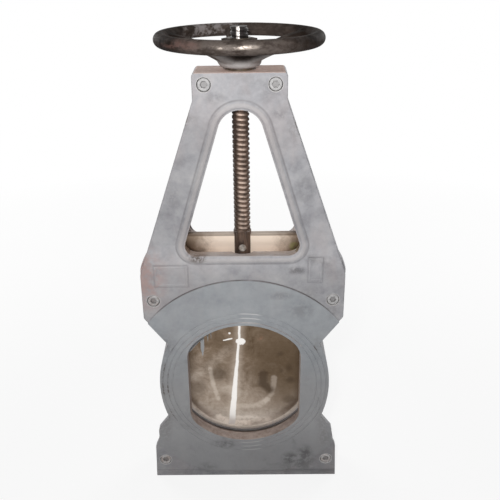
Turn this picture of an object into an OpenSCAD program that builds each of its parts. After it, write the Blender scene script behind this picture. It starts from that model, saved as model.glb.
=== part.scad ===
/* [Port and flange faces] */
// Bore of the port
port_d = 200; // [160:5:240]
// Width of the port between its two upright flats
port_flats = 162; // [130:2:180]
// Radius of the rounded corners between the port's arcs and its flats
port_corner_r = 35; // [20:1:45]
// Flare of the port, above and below, where it meets the gate
port_flare = 4; // [1:0.5:4.5]
// Height of the port's centre above the foot
port_z = 171; // [150:1:205]
// Distance between the two flange faces
face_to_face = 60; // [50:1:80]
// Diameter of the raised seat that a pipe flange bears on
flange_seat_d = 340; // [300:2:380]
// Height of the flange seat above the plate round it
flange_seat_rise = 2; // [1:0.5:4]
// Distance from the port to the middle one of the three sealing grooves
sealing_groove_gap = 12; // [9:0.5:14]
// Distance from one sealing groove to the next
sealing_groove_step = 7; // [4:0.5:7]
// Width of a sealing groove
sealing_groove_w = 1.4; // [0.8:0.1:2]

/* [Gate] */
// Thickness of the gate
gate_t = 10; // [6:0.5:12]
// Overlap of the gate beyond the port's flats, each side
gate_side_lap = 11; // [8:0.5:14]
// Overlap of the gate beyond the port at its round foot
gate_foot_lap = 3; // [2:0.5:6]
// Depth of the bevel round the gate's foot
gate_bevel = 4; // [1:0.5:5]
// Height of the shut gate's top edge above the window's sill
gate_rise = 23; // [18:0.5:26]
// Running clearance of the gate in the body, each side
gate_clear = 0.4; // [0.3:0.1:1]
// Clearance of the gate in the yoke slot, each side
slot_clear = 5; // [4:0.5:7]

/* [Body outline] */
// Wall outside the gate at the notches of the waist
waist_wall = 15.6; // [12:0.2:20]
// Reach of the shoulders and of the foot beyond the notches
shoulder_reach = 31; // [24:1:36]
// Bulge of the waist beyond the notches
bulge = 15; // [8:1:18]
// Radius of the waist's two side arcs
bulge_r = 165; // [140:1:220]
// Radius of the round shoulders
shoulder_r = 30; // [20:1:40]
// Height of the shoulder arcs' centres above the port's centre
shoulder_rise = 174; // [160:1:190]
// Height above the port's centre where the sides turn in to the waist
waist_top_rise = 113; // [100:1:125]
// Height of the upper notch above the port's centre
notch_rise = 70; // [60:1:80]
// Depth of the lower notch below the port's centre
notch_drop = 53; // [46:1:58]
// Distance of the ankle in from the foot's side
ankle_in = 9; // [5:1:14]
// Depth of the ankle below the port's centre
ankle_drop = 82; // [76:1:88]
// Depth below the port's centre where the ankle starts to widen
flare_drop = 98; // [92:1:104]
// Height over which it widens to the foot
flare_h = 16; // [8:1:20]
// Thickness of the front rim behind which the flanks are cut back for the flange bolts
flank_rim_t = 10; // [8:1:20]
// Wall between the lowest cap screws and the cut in the flanks
flank_wall = 8; // [6:1:12]
// Taper of the foot's sides above the floor
foot_taper = 2; // [0:0.5:4]
// Radius of the outline's rounded corners
corner_r = 5; // [3:1:6]
// Height of the rebate along the foot
foot_strip_h = 11; // [6:1:20]
// Width by which the joint flange shows past each shoulder
joint_ear_w = 2.5; // [1:0.5:4]
// Thickness of each half's joint flange there
joint_ear_t = 9; // [5:1:14]

/* [Yoke] */
// Height of the window's lower corners above the shoulder arcs' centres
window_lift = 47; // [42:1:60]
// Distance from the shoulder arc's centre in to the window's lower corner
window_in = 47.5; // [44:0.5:56]
// Height of the arch's centre above the lower corners' centres
window_h = 151.7; // [120:0.1:190]
// Height of the rear window's sill above the front one's
rear_sill_rise = 11; // [0:0.5:14]
// Radius of the window's arch at the outside of its bead
window_arch_r = 40; // [34:1:44]
// Radius of the window's lower corners at the outside of its bead
window_corner_r = 26; // [18:1:32]
// Width of the raised bead round the window
bead_w = 10.5; // [6:0.5:14]
// Height of the raised bead
bead_h = 2.5; // [1:0.5:4]
// Height of the legs' tops above the arch's centre
leg_rise = 39.3; // [32:0.1:44]
// Height of the top block above the legs
block_h = 34; // [32:1:44]
// Width of the top block
block_w = 116; // [108:1:140]
// Thickness of the block's roof over the nut's groove
block_roof = 5.9; // [4:0.1:8]
// Least wall in front of the nut's groove
block_wall = 4.5; // [3:0.5:6]

/* [Stem and nut] */
// Outside diameter of the stem's thread
stem_d = 22; // [18:1:27]
// Height of the stem's top end above the middle of the rim when the gate is shut
stem_proud = 13.2; // [6:0.1:30]
// Step from the thread out to the forked end that straddles the gate
fork_step = 1; // [0.5:0.5:2]
// Height of the fork's shoulder above the gate's top edge
fork_rise = 5.5; // [4:0.5:8]
// Length of the fork below the gate's top edge
fork_grip = 31; // [26:1:34]
// Clearance of the fork in its pockets
fork_clear = 6; // [4:0.5:7]
// Clearance over the fork's shoulder when the gate is open
lift_clear = 2.5; // [2:0.5:5]
// Clearance of the stem in the nut
stem_clear = 0.3; // [0.2:0.1:0.5]
// Wall of the nut's shank round the stem
nut_wall = 4; // [3.5:0.5:6]
// Step from the shank out to the neck that runs in the top block
nut_neck_step = 2; // [1:0.5:3]
// Step from the neck out to the collar by which the block holds the nut
nut_collar_step = 6; // [5:0.5:8]
// Thickness of the nut's collar
nut_collar_t = 7; // [5:0.5:8]
// Running clearance round the nut
nut_clear = 0.3; // [0.2:0.1:0.5]
// Thickness of each thrust washer
thrust_washer_t = 2; // [1:0.5:2.5]

/* [Handwheel] */
// Outside diameter of the handwheel
wheel_d = 207; // [170:1:260]
// Diameter of the round rim section
rim_d = 16.8; // [13:0.2:22]
// Height of the middle of the rim above the top block
rim_rise = 36.8; // [30:0.1:50]
// Number of spokes
spokes = 5; // [3:1:6]
// Turn of the first spoke from the right-hand side
spoke_turn = 313; // [0:1:359]
// Width of a spoke
spoke_w = 20; // [14:1:24]
// Thickness of a spoke
spoke_t = 11; // [8:1:13]
// Height at which the spokes spring from the hub, at the middle of their thickness
spoke_root = 9; // [8:0.5:14]
// Angle through which a spoke bends on its way out
spoke_bend = 24; // [12:1:40]
// Wall of the hub round the nut's shank, at its widest
hub_wall = 12; // [10:1:16]
// Radius of the rounded edge at the hub's foot
hub_foot_edge = 7; // [3:0.5:8]
// Step in from the hub's widest place to its top
hub_top_step = 4; // [2:0.5:6]
// Height of the hub
hub_h = 26; // [22:1:30]
// Gap between the top block and the hub
hub_gap = 3; // [2:0.5:8]
// Width of the key between the hub and the nut
key_w = 6; // [4:1:8]
// Height of the nut that holds the handwheel down
wheel_nut_h = 7; // [5:0.5:10]

/* [Fasteners] */
// Thread diameter of the cap screws
screw_d = 10; // [8:1:12]
// Distance of the side cap screws in from the body's side
screw_in = 15.5; // [13:0.5:20]
// Height of the middle cap screws above the top of the waist
mid_screw_rise = 26; // [14:1:34]
// Height of the lowest cap screws above the foot
low_screw_z = 32; // [26:1:44]
// Distance of the top cap screws in from the block's side
top_screw_in = 14.7; // [12:0.1:18]
// Web between the yoke slot and the top cap screws
top_screw_web = 2; // [1:0.5:3]
// Length of the screws in the rear casting
screw_reach = 20; // [14:1:22]
// Clearance round the screws' shanks in the front casting
screw_clear = 0.5; // [0.3:0.1:1]
// Clearance round the screws' shanks in the rear casting
thread_clear = 0.1; // [0.05:0.05:0.3]
// Thread diameter of the screw through the fork and the gate
fork_screw_d = 6; // [5:1:8]

/* [Seat and packing] */
// Width of the seat ring round the port
seat_ring_w = 7; // [5:0.5:8]
// Depth of the seat ring in the rear casting
seat_ring_t = 8; // [5:0.5:12]
// Thickness of the packing round the gate
packing_t = 9; // [6:0.5:10]
// Height of the packing
packing_h = 22; // [16:1:24]
// Wall between the packing and the stem's pocket
packing_gap = 8; // [6:1:12]

/* [Hidden] */
$fn = 96;
plate_y = face_to_face / 2 - flange_seat_rise;
port_r = port_d / 2;
port_flat_x = min(port_flats / 2, 0.98 * port_r);
sealing_groove_r = port_r + sealing_groove_gap;

gate_y = gate_t / 2;
gate_w = port_flats + 2 * gate_side_lap;
gate_foot_r = port_r + gate_foot_lap;
gate_corner_r = 8;
channel_y = gate_y + gate_clear;
channel_x = gate_w / 2 + gate_clear;
channel_foot_clear = 2;
slot_y = gate_y + slot_clear;
slot_x = gate_w / 2 + slot_clear;
slot_sink = 4;

notch_x = channel_x + waist_wall;
notch_corner_r = 1;
bulge_x = notch_x + bulge;
side_x = notch_x + shoulder_reach;
shoulder_x = side_x - shoulder_r;
shoulder_z = port_z + shoulder_rise;
waist_top_z = port_z + waist_top_rise;
notch_top_z = port_z + notch_rise;
notch_low_z = port_z - notch_drop;
ankle_x = side_x - ankle_in;
ankle_z = port_z - ankle_drop;
flare_top_z = port_z - flare_drop;
flare_low_z = flare_top_z - flare_h;
flank_x = notch_x + 6;
flank_low_z = low_screw_z + screw_d / 2 + flank_wall;

window_corner_x = shoulder_x - window_in;
window_corner_z = shoulder_z + window_lift;
window_arch_z = window_corner_z + window_h;
window_radii = [window_arch_r, window_corner_r, window_corner_r];
window_lean = (window_corner_x + window_corner_r - window_arch_r) / window_h;
bead_slope = 0.3 * bead_w;
bead_trim = 0.6;
sill_z = window_corner_z - window_corner_r + bead_w;
gate_top_z = sill_z + gate_rise;
leg_top_z = window_arch_z + leg_rise;
yoke_top_z = leg_top_z + block_h;

seat_fit = 0.1;
fork_d = stem_d + 2 * fork_step;
fork_top_z = gate_top_z + fork_rise;
fork_foot_z = gate_top_z - fork_grip;
fork_screw_z = fork_foot_z + 0.42 * fork_grip;
fork_flat_y = fork_d / 2 - 1;
fork_bolt_clear = 0.2;
pocket_r = fork_d / 2 + fork_clear;
pocket_foot_z = fork_foot_z - 3;
packing_z = pocket_foot_z - packing_gap - packing_h;

nut_shank_d = stem_d + 2 * nut_wall;
nut_neck_d = nut_shank_d + 2 * nut_neck_step;
nut_collar_d = nut_neck_d + 2 * nut_collar_step;
groove_h = nut_collar_t + 2 * thrust_washer_t + 2 * nut_clear;
groove_z = yoke_top_z - block_roof - groove_h;
groove_r = nut_collar_d / 2 + nut_clear;
nut_foot_z = groove_z + thrust_washer_t + nut_clear;
block_y = max(plate_y, groove_r + block_wall);
gate_lift = groove_z - lift_clear - fork_top_z;
slot_top_z = gate_top_z + gate_lift + slot_clear - 0.5;

hub_d = nut_shank_d + 2 * hub_wall;
hub_z = yoke_top_z + hub_gap;
hub_clear = 0.1;
hub_bore_r = nut_shank_d / 2 + hub_clear;
hub_seat_d = nut_neck_d + 6;
key_rise = 2;
shank_proud = 1;
shank_top_z = hub_z + hub_h + wheel_nut_h + shank_proud;
rim_r = (wheel_d - rim_d) / 2;
rim_z = yoke_top_z + rim_rise;
stem_top_z = rim_z + stem_proud;

head_d = 1.6 * screw_d;
head_h = screw_d;
head_sunk = 0.5;
head_edge = 0.8;
counterbore_d = head_d + 1.5;
top_screws = [for (side = [-1, 1])
    [side * (block_w / 2 - top_screw_in), slot_top_z + top_screw_web + screw_d / 2, block_y]];
mid_screws = [for (side = [-1, 1]) [side * (side_x - screw_in), waist_top_z + mid_screw_rise, plate_y]];
low_screws = [for (side = [-1, 1]) [side * (side_x - screw_in), low_screw_z, plate_y]];
all_screws = concat(top_screws, mid_screws, low_screws);

// Unit vector from a to b.
function along(a, b) = (b - a) / norm(b - a);

// Outward normal at which the outer tangent touches both circles i and j.
function tangent_normal(a, ra, b, rb) =
    let (u = along(a, b), n = [u[1], -u[0]], k = (ra - rb) / norm(b - a))
    n * sqrt(1 - k * k) + u * k;

// Outline round circles at centres c with radii r, listed anticlockwise.
module wrapped(c, r) {
    polygon([
        for (i = [0 : len(c) - 1])
            let (j = (i + 1) % len(c), t = tangent_normal(c[i], r[i], c[j], r[j]))
            for (p = [c[i] + r[i] * t, c[j] + r[j] * t]) p
    ]);
    for (i = [0 : len(c) - 1])
        translate(c[i]) circle(r[i]);
}

// Extrudes an outline in x and z forwards from the middle plane.
module forwards(depth, from = 0) {
    translate([0, -from, 0]) rotate([90, 0, 0]) linear_extrude(depth) children();
}

// Disc or bore along y, from one depth to another in front of the middle plane.
module bore_y(x, z, r, from, to) {
    translate([x, -from, z]) rotate([90, 0, 0]) cylinder(r = r, h = to - from);
}

// Circle round the port's centre, cut off by two upright flats.
module flatted_circle(r, half_w) {
    translate([0, port_z]) intersection() {
        circle(r);
        square([2 * half_w, 2 * r + 2], center = true);
    }
}

// Outline of the port, with rounded corners between its arcs and its flats.
module port_outline(grow = 0) {
    corner_x = port_flat_x - port_corner_r;
    corner_z = sqrt(pow(port_r - port_corner_r, 2) - pow(corner_x, 2));
    translate([0, port_z]) {
        square([2 * (port_flat_x + grow), 2 * corner_z], center = true);
        for (x = [-1, 1], z = [-1, 1])
            translate([x * corner_x, z * corner_z]) circle(port_corner_r + grow);
        intersection() {
            circle(port_r + grow);
            for (z = [-3, 3])
                polygon([[0, 0], [-3 * corner_x, z * corner_z], [3 * corner_x, z * corner_z]]);
        }
    }
}

// Flare of the port towards the gate, which leaves the edge on the flange face as it is.
module port_flare_cut() {
    depth = face_to_face / 2 - channel_y;
    intersection() {
        translate([0, -channel_y, port_z]) rotate([90, 0, 0])
            cylinder(r1 = port_r + port_flare, r2 = port_r - 2 * port_flare, h = depth);
        forwards(face_to_face) translate([-port_flat_x, 0]) square([2 * port_flat_x, 2 * port_z]);
    }
}

// Points mirrored to the left, so that a list runs anticlockwise from the upper left.
function both_sides(points) = concat(
    [for (p = points) [-p[0], p[1]]],
    [for (i = [len(points) - 1 : -1 : 0]) points[i]]
);

// Radii that go with both_sides.
function both_radii(radii) = concat(radii, [for (i = [len(radii) - 1 : -1 : 0]) radii[i]]);

// Top block, with its corners rounded.
module block_outline() {
    block_x = block_w / 2 - corner_r;
    wrapped(
        both_sides([[block_x, yoke_top_z - corner_r], [block_x, leg_top_z - 2 * corner_r]]),
        both_radii([corner_r, corner_r])
    );
}

// Legs and shoulders, down to the upper notch of the waist.
module shoulder_outline() {
    wrapped(
        both_sides([
            [block_w / 2 - corner_r, leg_top_z],
            [shoulder_x, shoulder_z],
            [side_x - corner_r, waist_top_z],
            [notch_x - notch_corner_r, notch_top_z + notch_corner_r]
        ]),
        both_radii([corner_r, shoulder_r, corner_r, notch_corner_r])
    );
}

// Round waist between the notches.
module waist_outline() {
    overlap = 20;
    intersection() {
        translate([bulge_x - bulge_r, port_z]) circle(bulge_r);
        translate([bulge_r - bulge_x, port_z]) circle(bulge_r);
        translate([-bulge_x, notch_low_z - overlap])
            square([2 * bulge_x, notch_top_z - notch_low_z + 2 * overlap]);
    }
}

// Flanks that widen from the lower notch to the foot.
module foot_outline() {
    wrapped(
        both_sides([
            [notch_x + 2 * notch_corner_r, notch_low_z - 2 * notch_corner_r],
            [ankle_x - corner_r, ankle_z],
            [ankle_x - corner_r, flare_low_z]
        ]),
        both_radii([notch_corner_r, corner_r, corner_r])
    );
    polygon(both_sides([[ankle_x, flare_top_z], [side_x - foot_taper, flare_low_z], [side_x, 0]]));
}

// Outline of one half casting.
module casting_outline() {
    block_outline();
    shoulder_outline();
    waist_outline();
    foot_outline();
}

// Edge of the joint flange, which shows past the round shoulders.
module joint_ears() {
    forwards(joint_ear_t) wrapped(
        both_sides([[shoulder_x, shoulder_z + shoulder_r / 2], [shoulder_x, shoulder_z]]),
        both_radii([0.75 * shoulder_r + joint_ear_w, shoulder_r + joint_ear_w])
    );
}

// Window outline, set in from the outside of its bead, with its sill raised.
module window_outline(inset, rise) {
    corner_x = window_corner_x - rise * window_lean;
    corner_z = window_corner_z + rise;
    wrapped(
        [[0, window_arch_z], [-corner_x, corner_z], [corner_x, corner_z]],
        [for (r = window_radii) r - inset]
    );
}

// Thin slice of the window outline, at a distance in front of the middle plane.
module window_slice(y, inset, rise) {
    forwards(0.01, y) window_outline(inset, rise);
}

// Raised bead round the window, with sloping sides.
module window_bead(rise) {
    difference() {
        hull() {
            window_slice(plate_y - 0.5, 0, rise);
            window_slice(plate_y + bead_h, bead_slope, rise);
        }
        hull() {
            window_slice(plate_y - 1, bead_w, rise);
            window_slice(plate_y + bead_h + 1, bead_w - bead_slope, rise);
        }
    }
}

// Cut in both flanks that lets the flange bolts past, from the middle plane forwards.
module flank_cut(depth) {
    forwards(depth + 1, -1) for (side = [-1, 1])
        translate([side * (flank_x + side_x) / 2, (flank_low_z + notch_low_z) / 2])
            square([side_x - flank_x, notch_low_z - flank_low_z], center = true);
}

// Space that the gate needs inside the body.
module gate_channel(half_w, bottom_r) {
    flatted_circle(bottom_r, half_w);
    translate([-half_w, port_z]) square([2 * half_w, sill_z - port_z + 1]);
}

// Fine ring groove that bites into the flange gasket.
module sealing_groove(r) {
    depth = sealing_groove_w / 2;
    difference() {
        bore_y(0, port_z, r + sealing_groove_w / 2, face_to_face / 2 - depth, face_to_face / 2 + 1);
        bore_y(0, port_z, r - sealing_groove_w / 2, face_to_face / 2 - depth - 1, face_to_face);
    }
}

// Raised round seat for the pipe's flange, clipped by the body's outline.
module flange_seat() {
    forwards(flange_seat_rise, plate_y) intersection() {
        translate([0, port_z]) circle(d = flange_seat_d);
        casting_outline();
        translate([-side_x, foot_strip_h]) square([2 * side_x, shoulder_z - foot_strip_h]);
    }
}

// Rebate along the foot, in front.
module foot_rebate() {
    translate([-side_x - 1, -plate_y - 1, -1]) cube([2 * side_x + 2, 2, foot_strip_h + 1]);
}

// Pocket for the fork, and above it the groove and neck hole for the stem nut.
module nut_space() {
    translate([0, 0, pocket_foot_z]) cylinder(r = pocket_r, h = groove_z - pocket_foot_z);
    translate([0, 0, groove_z]) cylinder(r = groove_r, h = groove_h);
    translate([0, 0, groove_z]) cylinder(d = nut_neck_d + 2 * nut_clear, h = yoke_top_z);
}

// Half of the split body and yoke, seen from its own side.
module half_casting(sill_rise, flank_depth) {
    difference() {
        union() {
            forwards(plate_y) casting_outline();
            forwards(block_y) block_outline();
            flange_seat();
            window_bead(sill_rise);
            joint_ears();
        }
        forwards(plate_y + bead_h + 2, -1) window_outline(bead_w - bead_trim, sill_rise);
        forwards(face_to_face, -1) port_outline();
        port_flare_cut();
        flank_cut(flank_depth);
        for (i = [-1, 0, 1])
            sealing_groove(sealing_groove_r + i * sealing_groove_step);
        forwards(channel_y + 1, -1)
            gate_channel(channel_x, gate_foot_r + channel_foot_clear);
        forwards(slot_y + 1, -1)
            translate([-slot_x, sill_z - slot_sink]) square([2 * slot_x, slot_top_z - sill_z + slot_sink]);
        forwards(channel_y + packing_t + 1, -1)
            translate([-channel_x - packing_t, packing_z])
                square([2 * (channel_x + packing_t), packing_h]);
        foot_rebate();
        nut_space();
    }
}

module front_casting() {
    color("#a9aeb3") difference() {
        half_casting(0, plate_y - flank_rim_t);
        for (p = all_screws) {
            bore_y(p[0], p[1], screw_d / 2 + screw_clear, -1, p[2] + 1);
            bore_y(p[0], p[1], counterbore_d / 2, p[2] - head_h - head_sunk, p[2] + 5);
        }
    }
}

module rear_casting() {
    color("#a9aeb3") difference() {
        mirror([0, 1, 0]) half_casting(rear_sill_rise, face_to_face);
        for (p = all_screws)
            mirror([0, 1, 0]) bore_y(p[0], p[1], screw_d / 2 + thread_clear, -1, screw_reach + 2);
        mirror([0, 1, 0]) forwards(seat_ring_t + 1, channel_y - 1) port_outline(seat_ring_w);
    }
}

// Seat that the gate closes on, let into the rear casting round the port.
module seat_ring() {
    color("#c9c5bd") mirror([0, 1, 0])
        forwards(seat_ring_t + gate_clear - nut_clear, gate_y + nut_clear) difference() {
            port_outline(seat_ring_w - seat_fit);
            port_outline();
        }
}

// Half of the packing frame that seals round the gate under the sill.
module packing_half() {
    out_x = gate_w / 2 + gate_clear + packing_t;
    in_x = gate_w / 2 + nut_clear;
    color("#4b463c") difference() {
        translate([-out_x, -channel_y - packing_t, packing_z])
            cube([2 * out_x, channel_y + packing_t, packing_h]);
        translate([-in_x, -gate_y - nut_clear, packing_z - 1])
            cube([2 * in_x, gate_t, packing_h + 2]);
    }
}

module front_packing() {
    packing_half();
}

module rear_packing() {
    mirror([0, 1, 0]) packing_half();
}

// Bronze washer that the nut's collar bears on.
module thrust_washer(z) {
    color("#a07c46") translate([0, 0, z]) difference() {
        cylinder(d = nut_collar_d, h = thrust_washer_t);
        translate([0, 0, -1]) cylinder(r = pocket_r + 0.3, h = thrust_washer_t + 2);
    }
}

module lower_thrust_washer() {
    thrust_washer(groove_z);
}

module upper_thrust_washer() {
    thrust_washer(groove_z + groove_h - thrust_washer_t);
}

// Socket-head cap screw from the front, seated in its counterbore.
module cap_screw(p) {
    seat = p[2] - head_h - head_sunk;
    color("#b9b5ae") difference() {
        union() {
            bore_y(p[0], p[1], screw_d / 2, -screw_reach, seat);
            bore_y(p[0], p[1], head_d / 2, seat, seat + head_h - head_edge);
            translate([p[0], -seat - head_h + head_edge, p[1]]) rotate([90, 0, 0])
                cylinder(d1 = head_d, d2 = head_d - 2 * head_edge, h = head_edge);
        }
        translate([p[0], -seat - head_h / 2, p[1]]) rotate([90, 0, 0])
            cylinder(d = 0.92 * screw_d, h = head_h, $fn = 6);
    }
}

module top_left_screw() {
    cap_screw(top_screws[0]);
}

module top_right_screw() {
    cap_screw(top_screws[1]);
}

module middle_left_screw() {
    cap_screw(mid_screws[0]);
}

module middle_right_screw() {
    cap_screw(mid_screws[1]);
}

module lower_left_screw() {
    cap_screw(low_screws[0]);
}

module lower_right_screw() {
    cap_screw(low_screws[1]);
}

// Outline of the gate, round at the foot like the port it covers.
module gate_outline() {
    flatted_circle(gate_foot_r, gate_w / 2);
    wrapped(
        both_sides([[gate_w / 2 - gate_corner_r, gate_top_z - gate_corner_r],
                    [gate_w / 2 - notch_corner_r, port_z]]),
        both_radii([gate_corner_r, notch_corner_r])
    );
}

// Stainless gate plate. The front of its round foot is bevelled to cut into the pulp.
module gate() {
    color("#b8ab98") difference() {
        translate([0, gate_y, 0]) forwards(gate_t) gate_outline();
        difference() {
            translate([-gate_w, -gate_t, 0]) cube([2 * gate_w, 2 * gate_t, port_z - port_r / 2]);
            translate([0, gate_y + 1, port_z]) rotate([90, 0, 0])
                cylinder(r = gate_foot_r + 1, h = gate_t + 1 - gate_bevel);
            translate([0, gate_bevel - gate_y, port_z]) rotate([90, 0, 0])
                cylinder(r1 = gate_foot_r, r2 = gate_foot_r - 2 * gate_bevel, h = gate_bevel);
        }
        bore_y(0, fork_screw_z, fork_screw_d / 2 + fork_bolt_clear, -gate_y - 1, gate_y + 1);
    }
}

// Rising stem. Its forked foot straddles the gate, and its thread runs in the nut.
module stem() {
    tip = 1.5;
    color("#6d5847") difference() {
        union() {
            translate([0, 0, fork_foot_z])
                cylinder(d = fork_d, h = fork_top_z - fork_foot_z - fork_step);
            translate([0, 0, fork_top_z - fork_step])
                cylinder(d1 = fork_d, d2 = stem_d, h = fork_step);
            translate([0, 0, fork_top_z]) cylinder(d = stem_d, h = stem_top_z - fork_top_z - tip);
            translate([0, 0, stem_top_z - tip]) cylinder(d1 = stem_d, d2 = stem_d - 2 * tip, h = tip);
        }
        translate([-fork_d, -gate_y, fork_foot_z - 1]) cube([2 * fork_d, gate_t, fork_grip + 1]);
        bore_y(0, fork_screw_z, fork_screw_d / 2 + fork_bolt_clear, -fork_d, fork_d);
        for (side = [0, 1])
            mirror([0, side, 0]) bore_y(0, fork_screw_z, fork_screw_d + 0.5, fork_flat_y, fork_d);
    }
}

// Button-head screw through the fork and the gate.
module fork_screw() {
    color("#c9c4ba") {
        bore_y(0, fork_screw_z, fork_screw_d / 2, -fork_flat_y - fork_screw_d / 2, fork_flat_y);
        translate([0, -fork_flat_y, fork_screw_z]) rotate([90, 0, 0])
            cylinder(d1 = 1.7 * fork_screw_d, d2 = 1.1 * fork_screw_d, h = 0.5 * fork_screw_d);
    }
}

// Thin nut behind the fork.
module fork_nut() {
    color("#a8a39a") difference() {
        translate([0, fork_flat_y + fork_screw_d / 2, fork_screw_z]) rotate([90, 0, 0])
            cylinder(d = 1.85 * fork_screw_d, h = fork_screw_d / 2, $fn = 6);
        bore_y(0, fork_screw_z, fork_screw_d / 2, -fork_d, 0);
    }
}

// Bronze stem nut, held by its collar between the two halves of the top block.
module stem_nut() {
    neck_top_z = yoke_top_z + 1;
    color("#a58350") difference() {
        union() {
            translate([0, 0, nut_foot_z]) cylinder(d = nut_collar_d, h = nut_collar_t);
            translate([0, 0, nut_foot_z]) cylinder(d = nut_neck_d, h = neck_top_z - nut_foot_z);
            translate([0, 0, neck_top_z]) cylinder(d = hub_seat_d, h = hub_z - neck_top_z);
            translate([0, 0, neck_top_z]) cylinder(d = nut_shank_d, h = shank_top_z - neck_top_z);
        }
        translate([0, 0, nut_foot_z - 1]) cylinder(d = stem_d + 2 * stem_clear, h = stem_top_z);
        key_slot(hub_clear);
    }
}

// Space of the key between the nut and the hub, grown by a clearance.
module key_slot(grow) {
    key_in = nut_wall - 1;
    translate([-key_w / 2 - grow, nut_shank_d / 2 - key_in - grow, hub_z + key_rise - grow])
        cube([key_w + 2 * grow, 2 * key_in + 2 * grow, hub_h + 2 * grow]);
}

module wheel_key() {
    color("#8f8a80") intersection() {
        key_slot(0);
        translate([0, 0, hub_z]) cylinder(d = hub_d, h = hub_h);
    }
}

// One spoke of round-edged section, arching from the hub out to the rim.
module spoke() {
    foot = [hub_bore_r + spoke_t / 2, hub_z + spoke_root];
    tip = [rim_r, rim_z - 1];
    span = tip - foot;
    tip_slope = atan2(span.y, span.x) - spoke_bend / 2;
    arch_r = norm(span) / 2 / sin(spoke_bend / 2);
    centre = tip + arch_r * [sin(tip_slope), -cos(tip_slope)];
    side_y = (spoke_w - spoke_t) / 2;
    translate([centre.x, 0, centre.y]) rotate([90, -90 - tip_slope, 0])
        rotate_extrude(angle = spoke_bend) translate([arch_r, 0]) {
            square([spoke_t, 2 * side_y], center = true);
            for (side = [-1, 1]) translate([0, side * side_y]) circle(d = spoke_t);
        }
}

// Half the section of the hub, with a rounded foot and narrowing to its top.
module hub_section() {
    hub_r = hub_d / 2;
    flat_r = hub_r - hub_foot_edge;
    translate([flat_r, hub_foot_edge]) circle(r = hub_foot_edge);
    polygon([
        [0, 0], [flat_r, 0], [flat_r, hub_foot_edge], [hub_r, hub_foot_edge],
        [hub_r, hub_h / 2], [hub_r - hub_top_step, hub_h], [0, hub_h]
    ]);
}

// Dished handwheel in one casting: round rim, arched spokes and round-footed hub.
module handwheel() {
    color("#3a302a") difference() {
        union() {
            translate([0, 0, rim_z]) rotate_extrude() translate([rim_r, 0]) circle(d = rim_d);
            for (i = [0 : spokes - 1])
                rotate([0, 0, spoke_turn + i * 360 / spokes]) spoke();
            translate([0, 0, hub_z]) rotate_extrude() hub_section();
        }
        translate([0, 0, hub_z - 1]) cylinder(r = hub_bore_r, h = 2 * hub_h);
        key_slot(hub_clear);
    }
}

// Nut that holds the handwheel down on the stem nut's shank.
module wheel_nut() {
    color("#5a5048") translate([0, 0, hub_z + hub_h]) difference() {
        cylinder(d = 1.45 * nut_shank_d, h = wheel_nut_h, $fn = 6);
        translate([0, 0, -1]) cylinder(r = hub_bore_r, h = 2 * wheel_nut_h);
    }
}

front_casting();
rear_casting();
seat_ring();
front_packing();
rear_packing();
lower_thrust_washer();
upper_thrust_washer();
top_left_screw();
top_right_screw();
middle_left_screw();
middle_right_screw();
lower_left_screw();
lower_right_screw();
gate();
stem();
fork_screw();
fork_nut();
stem_nut();
handwheel();
wheel_key();
wheel_nut();
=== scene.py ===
import math

import bpy
from mathutils import Matrix, Vector


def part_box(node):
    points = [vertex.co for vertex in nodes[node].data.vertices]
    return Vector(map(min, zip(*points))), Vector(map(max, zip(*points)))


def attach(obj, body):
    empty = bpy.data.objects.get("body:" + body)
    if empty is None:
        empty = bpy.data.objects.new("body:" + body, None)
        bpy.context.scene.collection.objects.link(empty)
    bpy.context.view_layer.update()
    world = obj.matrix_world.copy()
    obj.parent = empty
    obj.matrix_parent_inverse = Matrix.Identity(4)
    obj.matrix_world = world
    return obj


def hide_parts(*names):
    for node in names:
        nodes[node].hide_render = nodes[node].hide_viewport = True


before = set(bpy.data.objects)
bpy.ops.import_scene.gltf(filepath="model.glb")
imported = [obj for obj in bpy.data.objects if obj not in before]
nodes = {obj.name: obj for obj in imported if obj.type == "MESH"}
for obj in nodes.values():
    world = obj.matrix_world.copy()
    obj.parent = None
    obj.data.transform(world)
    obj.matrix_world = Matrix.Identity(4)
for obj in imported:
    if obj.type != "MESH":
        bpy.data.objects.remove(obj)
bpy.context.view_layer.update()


# ---- Body and yoke castings ----
# Two matching halves in grey iron, cast in sand and bolted face to face. The flange seats are
# faced on a lathe, the rest keeps its cast skin, and both get a coat of pale grey enamel.

MM = 0.001


def box_mm(node):
    """The lowest and highest corners of a CAD node at rest, in millimetres."""
    return [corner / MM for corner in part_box(node)]


# sizes of the castings, in millimetres
BEAD_H = 2.5
BEAD_W = 10.5
SEAT_RISE = 2
SEAT_R = 170
RING_W = 6.9
GROOVE_GAP = 12
GROOVE_STEP = 7
GATE_RISE = 23
REAR_SILL_RISE = 11
COUNTERBORE_R = 8.75
ARCH_R = 40
CORNER_R = 26
CORNER_X = 61.5
ARCH_DROP = 73.3
FOOT_STRIP_H = 11
HEEL_X = 110
HEEL_Z = 46

# radius of the cast edges, shares of it that other edges get, and how far those places reach
CAST_EDGE = 2.1
BEAD_SHARE = 0.97
PLATE_SHARE = 0.76
SEAT_SHARE = 0.23
GROOVE_SHARE = 0.19
GROOVES_R = 125
WELL_SHARE = 0.15
WELL_R = 10

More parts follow.
